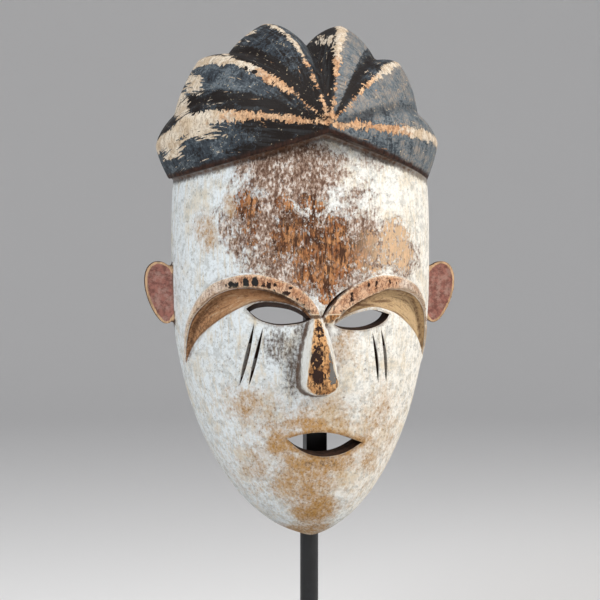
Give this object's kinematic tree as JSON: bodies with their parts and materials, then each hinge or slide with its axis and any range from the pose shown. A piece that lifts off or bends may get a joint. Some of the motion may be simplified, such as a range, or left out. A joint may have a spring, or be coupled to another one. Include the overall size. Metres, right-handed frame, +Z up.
{
  "type": "tsogho mask",
  "caption": "Carved and painted wooden face mask with a pleated headdress, hollow at the back, held upright on a black steel rod with a foot plate.",
  "frame": {"origin": "middle of the foot plate's underside", "axes": "+Z up, the mask faces -Y, +X to the right of someone looking at the face"},
  "size_m": [0.2136, 0.1292, 0.4446],
  "materials": {
    "mask_wood": "carved light wood under worn kaolin white, with a worn black headdress and bare tan edges",
    "stand_black": "semi-gloss black paint on steel"
  },
  "bodies": {
    "root": {"mask": "mask_wood", "stand_rod": "stand_black", "stand_bracket": "stand_black", "stand_base": "stand_black"}
  },
  "joints": []
}
